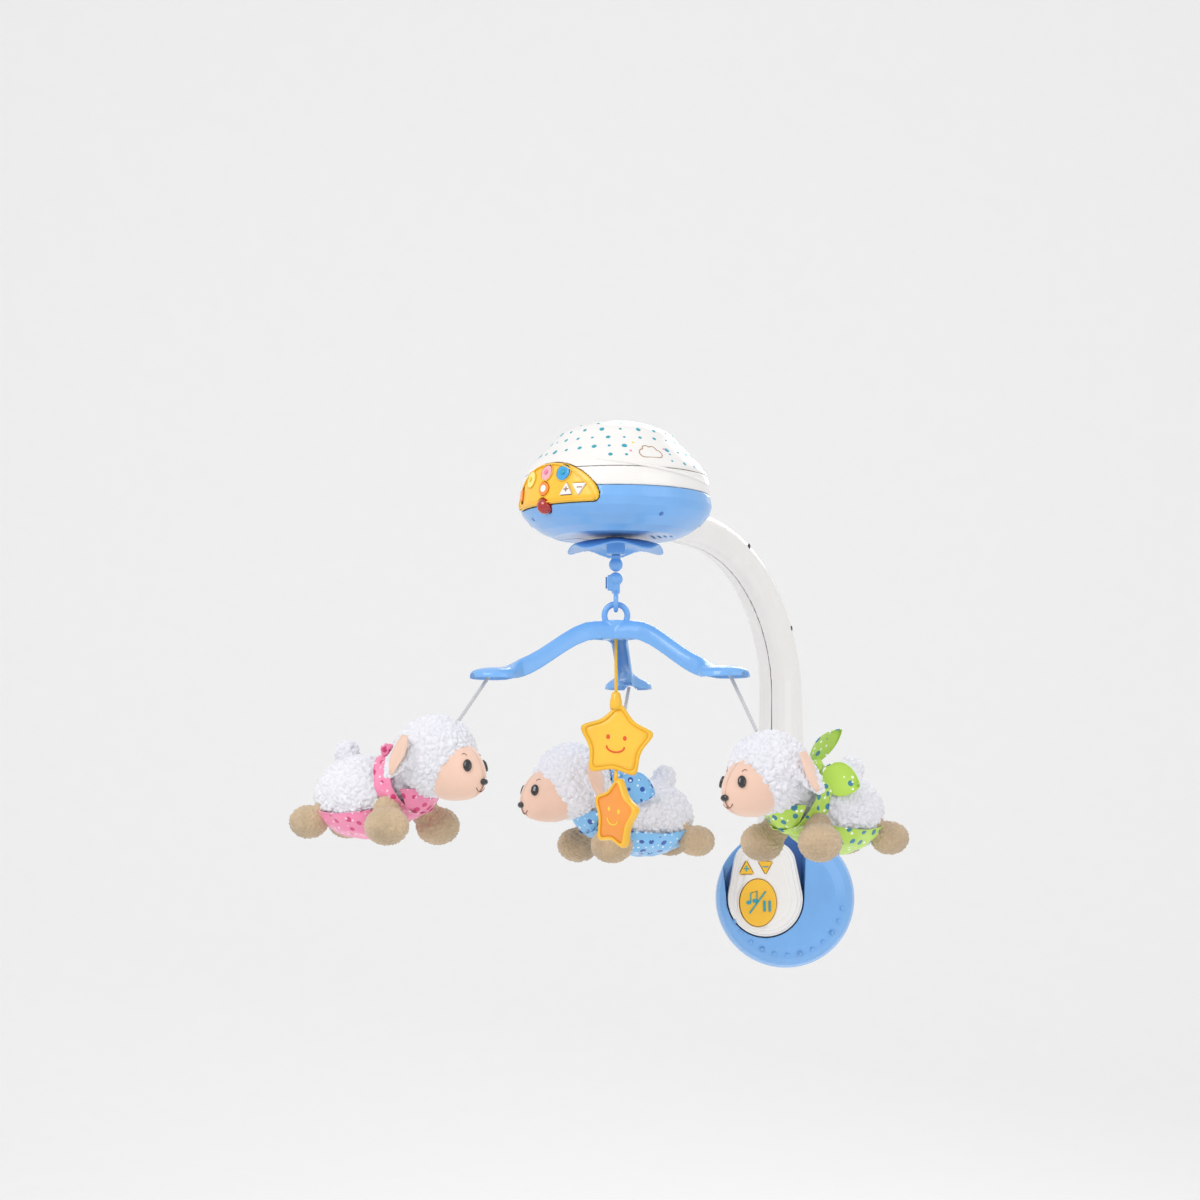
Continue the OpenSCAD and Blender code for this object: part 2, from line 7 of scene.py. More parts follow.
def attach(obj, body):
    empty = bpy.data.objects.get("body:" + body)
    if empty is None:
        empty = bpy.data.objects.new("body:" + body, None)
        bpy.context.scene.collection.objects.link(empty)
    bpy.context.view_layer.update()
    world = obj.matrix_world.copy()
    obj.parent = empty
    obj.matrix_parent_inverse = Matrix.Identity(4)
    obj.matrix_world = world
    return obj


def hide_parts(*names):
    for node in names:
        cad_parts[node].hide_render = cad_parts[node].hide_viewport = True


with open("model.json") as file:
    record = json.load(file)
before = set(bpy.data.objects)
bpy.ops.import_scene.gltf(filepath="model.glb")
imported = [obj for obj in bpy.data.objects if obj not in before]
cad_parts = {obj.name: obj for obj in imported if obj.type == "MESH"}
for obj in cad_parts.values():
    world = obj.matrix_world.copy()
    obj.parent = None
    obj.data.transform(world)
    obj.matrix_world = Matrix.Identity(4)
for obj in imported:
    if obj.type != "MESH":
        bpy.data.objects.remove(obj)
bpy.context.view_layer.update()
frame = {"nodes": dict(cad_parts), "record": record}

MM = 0.001
HUB = Vector((-181.77, -299.98, 0))
NODE_BODY = {n: b for b, nodes in frame["record"]["behaviour"]["bodies"].items() for n in nodes}
NODE_SLOT = {p["node"]: p["material_slot"] for p in frame["record"]["subparts"]}
scene = bpy.context.scene


# ---------------------------------------------------------------- materials

def shader(name, color, rough, grain=400.0, bump=0.05, vary=0.06, coat=0.0, sheen=0.0, under=0.0, metal=0.0, clear=0.0):
    """A material whose colour, roughness and relief all vary with the piece's own position."""
    m = bpy.data.materials.new(name)
    m.use_nodes = True
    nt = m.node_tree
    b = nt.nodes["Principled BSDF"]
    at = nt.nodes.new("ShaderNodeTexCoord")
    fine = nt.nodes.new("ShaderNodeTexNoise")
    fine.inputs["Scale"].default_value = grain
    fine.inputs["Detail"].default_value = 6
    wide = nt.nodes.new("ShaderNodeTexNoise")
    wide.inputs["Scale"].default_value = 22
    wide.inputs["Detail"].default_value = 4
    nt.links.new(at.outputs["Object"], fine.inputs["Vector"])
    nt.links.new(at.outputs["Object"], wide.inputs["Vector"])
    ramp = nt.nodes.new("ShaderNodeValToRGB")
    ramp.color_ramp.elements[0].position = 0.3
    ramp.color_ramp.elements[1].position = 0.7
    ramp.color_ramp.elements[0].color = (*[c * (1 - vary) for c in color], 1)
    ramp.color_ramp.elements[1].color = (*[min(1, c * (1 + vary)) for c in color], 1)
    nt.links.new(wide.outputs["Fac"], ramp.inputs["Fac"])
    nt.links.new(ramp.outputs["Color"], b.inputs["Base Color"])
    span = nt.nodes.new("ShaderNodeMapRange")
    span.inputs["To Min"].default_value = max(0.02, rough - 0.06)
    span.inputs["To Max"].default_value = rough + 0.06
    nt.links.new(fine.outputs["Fac"], span.inputs["Value"])
    nt.links.new(span.outputs["Result"], b.inputs["Roughness"])
    relief = nt.nodes.new("ShaderNodeBump")
    relief.inputs["Strength"].default_value = bump
    relief.inputs["Distance"].default_value = 0.0006
    nt.links.new(fine.outputs["Fac"], relief.inputs["Height"])
    nt.links.new(relief.outputs["Normal"], b.inputs["Normal"])
    b.inputs["Metallic"].default_value = metal
    b.inputs["Coat Weight"].default_value = coat
    b.inputs["Coat Roughness"].default_value = 0.12
    b.inputs["Sheen Weight"].default_value = sheen
    b.inputs["Subsurface Weight"].default_value = under
    b.inputs["Subsurface Radius"].default_value = (0.004, 0.004, 0.004)
    b.inputs["Subsurface Scale"].default_value = 1.0
    b.inputs["Transmission Weight"].default_value = clear
    return m


def dotted(name, ground, dot_a, dot_b):
    """Satin printed with two colours of round dots."""
    m = shader(name, ground, 0.34, grain=900, bump=0.12, vary=0.1, sheen=0.3)
    nt = m.node_tree
    b = nt.nodes["Principled BSDF"]
    at = nt.nodes["Texture Coordinate"]
    base = b.inputs["Base Color"].links[0].from_socket
    for scale, size, color in ((95.0, 0.3, dot_a), (150.0, 0.2, dot_b)):
        cells = nt.nodes.new("ShaderNodeTexVoronoi")
        cells.inputs["Scale"].default_value = scale
        cells.inputs["Randomness"].default_value = 0.45
        nt.links.new(at.outputs["Object"], cells.inputs["Vector"])
        inside = nt.nodes.new("ShaderNodeMath")
        inside.operation = "LESS_THAN"
        inside.inputs[1].default_value = size
        nt.links.new(cells.outputs["Distance"], inside.inputs[0])
        mix = nt.nodes.new("ShaderNodeMix")
        mix.data_type = "RGBA"
        mix.inputs["B"].default_value = (*color, 1)
        nt.links.new(inside.outputs[0], mix.inputs["Factor"])
        nt.links.new(base, mix.inputs["A"])
        base = mix.outputs["Result"]
    nt.links.new(base, b.inputs["Base Color"])
    return m


SLOTS = {
    "blue_gloss": shader("blue_gloss", (0.17, 0.41, 0.8), 0.24, grain=700, bump=0.03, coat=0.35, under=0.05),
    "blue_deep": shader("blue_deep", (0.05, 0.17, 0.48), 0.3, grain=700, bump=0.04, coat=0.2),
    "white_gloss": shader("white_gloss", (0.84, 0.82, 0.8), 0.22, grain=650, bump=0.03, vary=0.02, coat=0.35, under=0.06),
    "yellow_plastic": shader("yellow_plastic", (0.92, 0.52, 0.03), 0.3, grain=650, bump=0.04, coat=0.25, under=0.08),
    "pale_yellow_button": shader("pale_yellow_button", (0.9, 0.78, 0.2), 0.22, coat=0.4, under=0.3),
    "pink_button": shader("pink_button", (0.85, 0.42, 0.46), 0.22, coat=0.4, under=0.3),
    "blue_button": shader("blue_button", (0.04, 0.36, 0.72), 0.2, coat=0.4, under=0.2),
    "orange_plastic": shader("orange_plastic", (0.86, 0.27, 0.03), 0.28, coat=0.3, under=0.1),
    "red_lens": shader("red_lens", (0.55, 0.01, 0.01), 0.1, bump=0.01, coat=0.8, clear=0.35),
    "rubber_grey": shader("rubber_grey", (0.06, 0.065, 0.07), 0.75, grain=500, bump=0.3),
    "steel": shader("steel", (0.55, 0.56, 0.58), 0.3, grain=900, bump=0.1, metal=1.0),
    "board_green": shader("board_green", (0.02, 0.16, 0.06), 0.4, bump=0.15),
    "inner_plastic": shader("inner_plastic", (0.6, 0.58, 0.5), 0.5, bump=0.1),
    "lamp_glass": shader("lamp_glass", (0.8, 0.92, 0.97), 0.08, bump=0.01, clear=0.7),
    "yellow_cord": shader("yellow_cord", (0.88, 0.52, 0.03), 0.7, grain=1500, bump=0.5, sheen=0.4),
    "white_cord": shader("white_cord", (0.58, 0.58, 0.6), 0.75, grain=1600, bump=0.5, sheen=0.3),
    "fleece": shader("fleece", (0.8, 0.8, 0.85), 0.95, grain=1100, bump=0.6, vary=0.05, sheen=0.6, under=0.12),
    "tan_terry": shader("tan_terry", (0.56, 0.42, 0.27), 0.95, grain=1300, bump=0.8, vary=0.22, sheen=0.5),
    "pink_satin": dotted("pink_satin", (0.85, 0.24, 0.42), (0.62, 0.03, 0.16), (0.95, 0.62, 0.72)),
    "light_blue_satin": dotted("light_blue_satin", (0.2, 0.5, 0.84), (0.02, 0.09, 0.4), (0.75, 0.88, 0.97)),
    "lime_satin": dotted("lime_satin", (0.46, 0.7, 0.08), (0.02, 0.2, 0.32), (0.92, 0.96, 0.85)),
}
SUEDE = shader("suede", (0.82, 0.56, 0.44), 0.85, grain=1200, bump=0.3, vary=0.05, sheen=0.5, under=0.1)
EYE = shader("eye", (0.006, 0.005, 0.006), 0.1, bump=0.01, coat=0.8)
SPARK = shader("eye_light", (0.9, 0.9, 0.9), 0.3)
THREAD = shader("thread", (0.3, 0.13, 0.1), 0.8, grain=1500, bump=0.4)
TEAL = shader("teal_hole", (0.02, 0.36, 0.46), 0.35, under=0.2)
FACE_GOLD = shader("face_gold", (0.95, 0.56, 0.05), 0.36, coat=0.15)
FACE_ORANGE = shader("face_orange", (0.9, 0.32, 0.04), 0.36, coat=0.15)
PRINT_RED = shader("print_red", (0.78, 0.1, 0.02), 0.4)
PRINT_YELLOW = shader("print_yellow", (0.93, 0.66, 0.05), 0.4)
PRINT_PINK = shader("print_pink", (0.8, 0.22, 0.4), 0.4)
PRINT_BROWN = shader("print_brown", (0.4, 0.2, 0.08), 0.5)
WHITE_MARK = shader("white_mark", (0.9, 0.9, 0.88), 0.35)


# ---------------------------------------------------------------- mesh helpers

def smooth(o):
    for p in o.data.polygons:
        p.use_smooth = True
    return o


def add(name, verts, faces, body, material, slot=None):
    """A new mesh piece, given in millimetres in the row frame."""
    me = bpy.data.meshes.new(name)
    me.from_pydata([Vector(v) * MM for v in verts], [], faces)
    me.validate()
    me.update()
    o = bpy.data.objects.new(name, me)
    scene.collection.objects.link(o)
    me.materials.append(material)
    smooth(o)
    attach(o, body)
    return o


def baked(o, name):
    """The mesh that o's modifiers make, with the modifiers gone."""
    dg = bpy.context.evaluated_depsgraph_get()
    me = bpy.data.meshes.new_from_object(o.evaluated_get(dg))
    me.name = name
    return me


def moulded(node, voxel=1.0, rounds=3, factor=0.5):
    """The CAD node's own shape with its edges rounded like a moulding's."""
    src = frame["nodes"][node]
    o = bpy.data.objects.new(node + "_moulded", src.data.copy())
    scene.collection.objects.link(o)
    r = o.modifiers.new("cells", "REMESH")
    r.mode = "VOXEL"
    r.voxel_size = voxel * MM
    s = o.modifiers.new("round", "SMOOTH")
    s.iterations = rounds
    s.factor = factor
    me = baked(o, node + "_moulded")
    o.modifiers.clear()
    o.data = me
    me.materials.clear()
    me.materials.append(SLOTS[NODE_SLOT[node]])
    smooth(o)
    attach(o, NODE_BODY[node])
    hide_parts(node)
    return o


def rings_mesh(rings, closed_path=False, caps=True):
    """Vertices and faces for a tube through equal rings of points."""
    n = len(rings[0])
    verts = [p for r in rings for p in r]
    count = len(rings)
    faces = []
    for j in range(count if closed_path else count - 1):
        k = (j + 1) % count
        for i in range(n):
            faces.append((j * n + i, j * n + (i + 1) % n, k * n + (i + 1) % n, k * n + i))
    if caps and not closed_path:
        faces.append(tuple(range(n - 1, -1, -1)))
        faces.append(tuple((count - 1) * n + i for i in range(n)))
    return verts, faces


def frames_along(points, closed=False):
    """A side and an up direction at each point, turning as little as possible."""
    out, last = [], None
    n = len(points)
    for i, p in enumerate(points):
        a = points[(i - 1) % n] if closed or i else points[0]
        b = points[(i + 1) % n] if closed or i < n - 1 else points[-1]
        d = (b - a).normalized()
        ref = last if last is not None else (Vector((1, 0, 0)) if abs(d.z) > 0.8 else Vector((0, 0, 1)))
        side = (ref - d * ref.dot(d)).normalized()
        last = side
        out.append((side, d.cross(side)))
    return out


def tube(name, points, radius, body, material, slot=None, sides=10, closed=False):
    """A round tube along points, in millimetres. radius may be one number or one for each point."""
    points = [Vector(p) for p in points]
    radii = radius if isinstance(radius, (list, tuple)) else [radius] * len(points)
    rings = []
    for p, r, (s, u) in zip(points, radii, frames_along(points, closed)):
        rings.append([p + r * (math.cos(2 * math.pi * i / sides) * s + math.sin(2 * math.pi * i / sides) * u)
                      for i in range(sides)])
    return add(name, *rings_mesh(rings, closed), body, material, slot)


def blob(centre, size, turn=None, rings=16, sides=24):
    """An ellipsoid's vertices and faces."""
    verts = [Vector((0, 0, size[2]))]
    for j in range(1, rings):
        a = math.pi * j / rings
        for i in range(sides):
            b = 2 * math.pi * i / sides
            verts.append(Vector((size[0] * math.sin(a) * math.cos(b),
                                 size[1] * math.sin(a) * math.sin(b), size[2] * math.cos(a))))
    verts.append(Vector((0, 0, -size[2])))
    faces = [(0, 1 + i, 1 + (i + 1) % sides) for i in range(sides)]
    for j in range(rings - 2):
        for i in range(sides):
            a, b = 1 + j * sides, 1 + (j + 1) * sides
            faces.append((a + i, b + i, b + (i + 1) % sides, a + (i + 1) % sides))
    last = len(verts) - 1
    faces += [(last, last - sides + (i + 1) % sides, last - sides + i) for i in range(sides)]
    turn = turn or Matrix.Identity(3)
    return [turn @ v + Vector(centre) for v in verts], faces


def merged(parts):
    """Several (vertices, faces) pairs as one pair."""
    verts, faces = [], []
    for v, f in parts:
        base = len(verts)
        verts += list(v)
        faces += [tuple(i + base for i in q) for q in f]
    return verts, faces


def twisted(name, node, points, diameter, strands, pitch):
    """A laid cord: strands wound round the CAD cord's own route."""
    pts = [Vector(p) for p in points]
    length = sum((b - a).length for a, b in zip(pts, pts[1:]))
    steps = max(30, int(length / 0.5))
    line = []
    for k in range(steps + 1):
        t = k / steps * (len(pts) - 1)
        i = min(int(t), len(pts) - 2)
        line.append(pts[i].lerp(pts[i + 1], t - i))
    sides = frames_along(line)
    parts = []
    for s in range(strands):
        path = []
        for k, (p, (u, v)) in enumerate(zip(line, sides)):
            a = 2 * math.pi * (s / strands + k / steps * length / pitch)
            path.append(p + 0.23 * diameter * (math.cos(a) * u + math.sin(a) * v))
        rings = []
        for p, (u, v) in zip(path, frames_along(path)):
            rings.append([p + 0.27 * diameter * (math.cos(math.pi * i / 4) * u + math.sin(math.pi * i / 4) * v)
                          for i in range(8)])
        parts.append(rings_mesh(rings))
    o = add(name, *merged(parts), NODE_BODY[node], SLOTS[NODE_SLOT[node]], NODE_SLOT[node])
    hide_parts(node)
    return o


# ---------------------------------------------------------------- cords

LAMBS = {
    "a": dict(arm=1, head=(-344, -380, 109), heading=-34.0, end=(-328.9, -366.7, 145.2), satin="pink_satin"),
    "b": dict(arm=0, head=(-231, -170, 90), heading=206.8, end=(-184.7, -160, 97), satin="light_blue_satin"),
    "c": dict(arm=2, head=(-46, -393, 94), heading=219.7, end=(-53, -388, 135.6), satin="lime_satin"),
}
for key, lamb in LAMBS.items():
    turn = math.radians(83.8 + 120 * lamb["arm"])
    top = HUB + Vector((130 * math.cos(turn), 130 * math.sin(turn), 188.4))
    end = Vector(lamb["end"])
    twisted("lamb_%s_twisted_cord" % key, "lamb_%s_cord" % key, [top.lerp(end, k / 8) for k in range(9)], 3.6, 3, 9.0)
twisted("star_braided_cord", "star_cord", [HUB + Vector((0, 0, 243 - k * 66 / 8)) for k in range(9)], 3.2, 3, 7.0)


# ---------------------------------------------------------------- plastic parts

COARSE = {"moon_front": (1.0, 7), "remote_front": (0.8, 14), "remote_back": (0.9, 5), "clamp_bracket": (1.2, 4), "clamp_knob": (0.9, 4),
          "clamp_jaw": (0.8, 3), "arm_left": (1.1, 4), "arm_right": (1.1, 4), "dome_lens": (1.1, 4), "dome_skirt": (1.0, 3),
          "base_shell": (1.0, 4), "control_panel": (0.7, 3), "collar": (0.8, 7), "upper_link": (0.6, 4), "hook": (0.6, 6),
          "hanger": (0.8, 6), "sound_sensor": (0.6, 2), "remote_play_button": (0.6, 6), "remote_plus_button": (0.4, 4),
          "remote_minus_button": (0.4, 4), "lullaby_button": (0.45, 5), "nature_button": (0.45, 5), "voice_button": (0.45, 5),
          "volume_up_button": (0.4, 4), "volume_down_button": (0.4, 4), "timer_button": (0.45, 5), "power_switch": (0.4, 4)}
PIECES = {node: moulded(node, voxel, rounds) for node, (voxel, rounds) in COARSE.items()}

# The walls and back of the recess behind the remote get a deeper blue: painted shade in the recess.
moon = PIECES["moon_front"]
moon.data.materials.append(SLOTS["blue_deep"])
for p in moon.data.polygons:
    x, y, z = p.center / MM
    shaded_recess_wall = y > -40 and math.hypot(x + 22.5, z + 27.5) < 42 and abs(p.normal.y) < 0.8
    back = y > -20 and p.normal.y < -0.6 and math.hypot(x, z + 27) < 66
    # Faces on the recess walls and back take the darker blue as painted shade.
    if shaded_recess_wall or back:
        p.material_index = 1

for node, o in frame["nodes"].items():
    if node not in COARSE and not o.hide_render:
        o.data.materials.clear()
        o.data.materials.append(SLOTS[NODE_SLOT[node]])
        if not node.startswith("lamb_") and node not in ("motor_pinion", "drive_gear"):
            edge = o.modifiers.new("edge", "BEVEL")
            edge.width = 0.35 * MM
            edge.segments = 2
            edge.limit_method = "ANGLE"
            edge.angle_limit = math.radians(40)


# ---------------------------------------------------------------- the head's surface

SKIN = [(325, 60), (330, 72), (338, 83), (346, 90), (354, 92.6), (364, 91), (369, 91.2), (376, 90.2)]
DOME = ((1, 0), (0.993, 0.036), (0.974, 0.091), (0.94, 0.164), (0.893, 0.255), (0.832, 0.364), (0.768, 0.473), (0.7, 0.582),
        (0.627, 0.727), (0.56, 0.8), (0.458, 0.873), (0.39, 0.909), (0.305, 0.945), (0.22, 0.973), (0.12, 0.992), (0, 1))
SKIN += [(382.3 + 55 * up, 88.5 * out) for out, up in DOME]


def skin_radius(z):
    for (z0, r0), (z1, r1) in zip(SKIN, SKIN[1:]):
        if z <= z1:
            return r0 + (r1 - r0) * (z - z0) / (z1 - z0)
    return 0.0


def skin_point(degrees, z, out=0.0):
    """A point on the head at a world azimuth and height, standing out from the surface, with the outward normal."""
    a = math.radians(degrees)
    slope = (skin_radius(z + 0.5) - skin_radius(z - 0.5))
    n = Vector((math.cos(a), math.sin(a), -slope)).normalized()
    r = skin_radius(z)
    return HUB + Vector((r * math.cos(a), r * math.sin(a), z)) + n * out, n


FRONT = -136.0


def front_point(across, z, out=0.0):
    """A point on the panel side, across being millimetres to the right as the panel is faced."""
    return skin_point(FRONT + math.degrees(math.asin(across / skin_radius(z))), z, out)


def disc(centre, normal, radius, height, tall=1.0, sides=18):
    """A low domed stud standing on a surface."""
    side = normal.orthogonal().normalized()
    if abs(normal.z) < 0.95:
        side = Vector((0, 0, 1)).cross(normal).normalized()
    up = normal.cross(side)
    rings = []
    for r, h in ((1.0, -0.6), (1.0, 0.3), (0.86, 0.75), (0.5, 0.97), (0.04, 1.0)):
        rings.append([centre + radius * r * (math.cos(2 * math.pi * i / sides) * side + tall * math.sin(2 * math.pi * i / sides) * up)
                      + normal * height * h for i in range(sides)])
    return rings_mesh(rings)


# Rows of star-light holes; the lowest row waves up and down.
holes = []
for count, z, wave, size in ((34, 391, 3.0, 1.7), (32, 402, 1.5, 2.1), (26, 413, 0, 1.7), (20, 422, 0, 1.9), (12, 430, 0, 1.5)):
    for i in range(count):
        a = 360 * i / count + (z % 7) * 2
        height = z + wave * math.sin(math.radians(3 * a))
        off = (a - FRONT + 180) % 360 - 180
        if abs(off) < 40 and height < 394:
            continue
        if abs((a + 68 + 180) % 360 - 180) < 14 and height < 405:
            continue
        p, n = skin_point(a, height)
        holes.append(disc(p, n, size * (1 + 0.3 * math.sin(i * 2.4)), 0.35, sides=12))
add("dome_light_holes", *merged(holes), "frame", TEAL)

# A soft ledge runs from the panel's top down to the seam.
tube("dome_swoosh", [skin_point(-102 + 90 * t, 389 - 17 * math.sin(t * math.pi / 2) + 3 * math.sin(t * math.pi), 0.1)[0]
                     for t in [k / 40 for k in range(41)]],
     [0.4 + 1.3 * math.sin(math.pi * k / 40) for k in range(41)], "frame", SLOTS["white_gloss"], "white_gloss")

# A plain cloud and dots in outline, printed beside the panel.
cloud = []
for cx, cz, r, a0, a1 in ((-7, 0, 5, 90, 270), (-3, 4, 5, 40, 175), (4, 4, 4.5, 0, 130), (8, 0, 4.5, -90, 70)):
    for k in range(9):
        a = math.radians(a0 + (a1 - a0) * k / 8)
        cloud.append((cx + r * math.cos(a), cz + r * math.sin(a), len(cloud)))
cloud.sort(key=lambda q: -math.atan2(q[1], q[0]))
outline = [skin_point(-66 + math.degrees(x / 84), 396 + z * 0.9, 0.1)[0] for x, z, _ in cloud]
tube("dome_print_cloud", outline, 0.4, "frame", PRINT_BROWN, sides=6, closed=True)
for k, (a, z, m) in enumerate(((-80, 398, PRINT_PINK), (-83, 403, TEAL), (-53, 402, PRINT_PINK), (-50, 397, TEAL), (-77, 407, PRINT_YELLOW))):
    p, n = skin_point(a, z)
    add("dome_print_dot_%d" % k, *disc(p, n, 1.3, 0.25), "frame", m)


# ---------------------------------------------------------------- panel details

edge = []
for k in range(60):
    a = 2 * math.pi * k / 60
    x = 50.5 * math.copysign(abs(math.cos(a)) ** 0.72, math.cos(a))
    if math.sin(a) >= 0:
        z = 350 + 36.5 * math.sqrt(max(0.0, 1 - (x / 54) ** 2)) * abs(math.sin(a)) ** 0.6
    else:
        z = 351.5
    edge.append(front_point(x, z, 1.7)[0])
tube("panel_raised_edge", edge, 0.8, "frame", SLOTS["yellow_plastic"], "yellow_plastic", sides=8, closed=True)
KEYS = {"lullaby_key": (-23.5, 375, 6.9), "nature_key": (0, 379, 6.9), "voice_key": (20.5, 377, 6.9), "timer_key": (-1, 363.6, 6.6)}
for body, (x, z, r) in KEYS.items():
    ring = []
    for k in range(28):
        a = 2 * math.pi * k / 28
        ring.append(front_point(x + (r + 0.9) * math.cos(a), z + (r + 0.9) * math.sin(a), 1.6)[0])
    tube(body + "_surround", ring, 0.45, "frame", SLOTS["yellow_plastic"], "yellow_plastic", sides=8, closed=True)
p, n = front_point(-1, 363.6, 3.2)
add("timer_key_cap", *disc(p, n, 3.6, 0.6), "timer_key", WHITE_MARK)


def bar(x, z, w, h, out):
    """A raised stroke on the panel side."""
    rings = []
    for dz in (-h / 2, h / 2):
        row = [front_point(x + sx * w / 2, z + dz, o)[0] for sx, o in ((-1, out), (1, out), (1, out + 0.5), (-1, out + 0.5))]
        rings.append(row)
    return rings_mesh(rings)


add("volume_up_mark", *merged([bar(25.5, 360.6, 4.6, 1.1, 2.7), bar(25.5, 360.6, 1.1, 4.6, 2.7)]), "volume_up_key", PRINT_BROWN)
add("volume_down_mark", *merged([bar(38, 361.6, 4.4, 1.1, 2.7)]), "volume_down_key", PRINT_BROWN)
for key, x, z, m in (("lullaby_key", -23.5, 375, PRINT_YELLOW), ("nature_key", 0, 379, PRINT_PINK), ("voice_key", 20.5, 377, TEAL)):
    p, n = front_point(x, z, 2.9)
    add(key + "_mark", *disc(p, n, 2.3, 0.3), key, m)

# Dark discs at the small screws round the base and in the arm's screw wells: painted shade in the screw holes.
hole_shade_discs = []
for a in (-60, 10, 100, 170, -160):
    p, n = skin_point(a, 339)
    hole_shade_discs.append(disc(p, n, 2.4, 0.25))
# Darker blue discs: painted shade inside the base's screw holes.
add("base_screw_hole_shade", *merged(hole_shade_discs), "frame", SLOTS["blue_deep"])

# ---------------------------------------------------------------- arm details

ARM_TURN = math.radians(-29.6)


def on_arm(side, along, height):
    """A point in the arm's frame: across its plane, away from the post, and up."""
    c, s = math.cos(ARM_TURN), math.sin(ARM_TURN)
    return Vector((side * c + along * s, 20 + side * s - along * c, height))


# Near-black discs in the arm's screw wells: painted shade in the holes.
hole_shade_discs = []
for along, height, half in ((0, 110, 23.4), (14, 262, 19.6), (110, 342, 16.4)):
    for s in (-1, 1):
        centre = on_arm(s * half, along, height)
        n = (on_arm(s, 0, 0) - on_arm(0, 0, 0)).normalized()
        hole_shade_discs.append(disc(centre, n, 3.1, 0.5))
add("arm_screw_hole_shade", *merged(hole_shade_discs), "frame", SLOTS["rubber_grey"])

# ---------------------------------------------------------------- remote details

def remote_stroke(points, radius, name, material, body, sides=8, closed=False):
    return tube(name, points, radius, body, material, sides=sides, closed=closed)


PLAY_Y = -56.7
remote_stroke([(-40, PLAY_Y, -42), (-31 + 8, PLAY_Y, -19)], 0.9, "play_slash", TEAL, "play_key")
for x in (-24.5, -19):
    remote_stroke([(x, PLAY_Y, -40), (x, PLAY_Y, -29)], 1.3, "play_bar_%d" % int(-x), TEAL, "play_key")
note = [blob((-41, PLAY_Y, -31), (2.6, 0.8, 2.1)), blob((-34.5, PLAY_Y, -29), (2.6, 0.8, 2.1))]
add("play_note_heads", *merged(note), "play_key", TEAL)
remote_stroke([(-38.8, PLAY_Y, -31), (-38.8, PLAY_Y, -21), (-32.3, PLAY_Y, -19), (-32.3, PLAY_Y, -29)], 0.7, "play_note_stem", TEAL, "play_key")
ring = [(-31 + 20.8 * math.cos(t), -54.2, -31 + 26.4 * math.sin(t)) for t in [2 * math.pi * k / 48 for k in range(48)]]
remote_stroke(ring, 0.6, "play_surround", SLOTS["white_gloss"], "remote", closed=True)
remote_stroke([(-46, -55.6, 4.5), (-40, -55.6, 4.5)], 0.6, "plus_mark_a", TEAL, "plus_key")
remote_stroke([(-43, -55.6, 1.5), (-43, -55.6, 7.5)], 0.6, "plus_mark_b", TEAL, "plus_key")
remote_stroke([(-26, -55.6, 6.5), (-20, -55.6, 6.5)], 0.6, "minus_mark", TEAL, "minus_key")
add("remote_indicator", *disc(Vector((-32, -52.5, 17)), Vector((0, -1, 0)), 1.4, 0.5), "remote", SLOTS["red_lens"])

# Raised dots and small stars round the moon's lower rim.
marks = []
for k in range(13):
    a = math.radians(190 + 160 * k / 12)
    r = 59.5
    centre = Vector((r * math.cos(a), -44.1, -27 + r * math.sin(a)))
    if k % 3 == 1:
        pts = []
        for j in range(10):
            q = 2 * math.pi * j / 10 + a
            rr = 3.6 if j % 2 == 0 else 1.7
            pts.append(centre + Vector((rr * math.cos(q), 0, rr * math.sin(q))))
        marks.append(rings_mesh([pts, [p + Vector((0, -0.9, 0)) for p in pts]]))
    else:
        marks.append(disc(centre, Vector((0, -1, 0)), 2.0, 0.8))
add("moon_raised_marks", *merged(marks), "frame", SLOTS["blue_gloss"], "blue_gloss")


# ---------------------------------------------------------------- stars

def star_outline(r, inner, soften=3):
    """A five-pointed star's outline with its corners rounded, in its own plane."""
    raw = []
    for k in range(10):
        a = math.radians(90 + 36 * k)
        raw.append((math.cos(a) * (r if k % 2 == 0 else r * inner), math.sin(a) * (r if k % 2 == 0 else r * inner)))
    pts = []
    for k in range(10):
        (x0, z0), (x1, z1) = raw[k], raw[(k + 1) % 10]
        pts += [(x0 + (x1 - x0) * t / 8, z0 + (z1 - z0) * t / 8) for t in range(8)]
    for _ in range(soften):
        n = len(pts)
        pts = [tuple((pts[i - 1][c] + 2 * pts[i][c] + pts[(i + 1) % n][c]) / 4 for c in (0, 1)) for i in range(n)]
    return pts


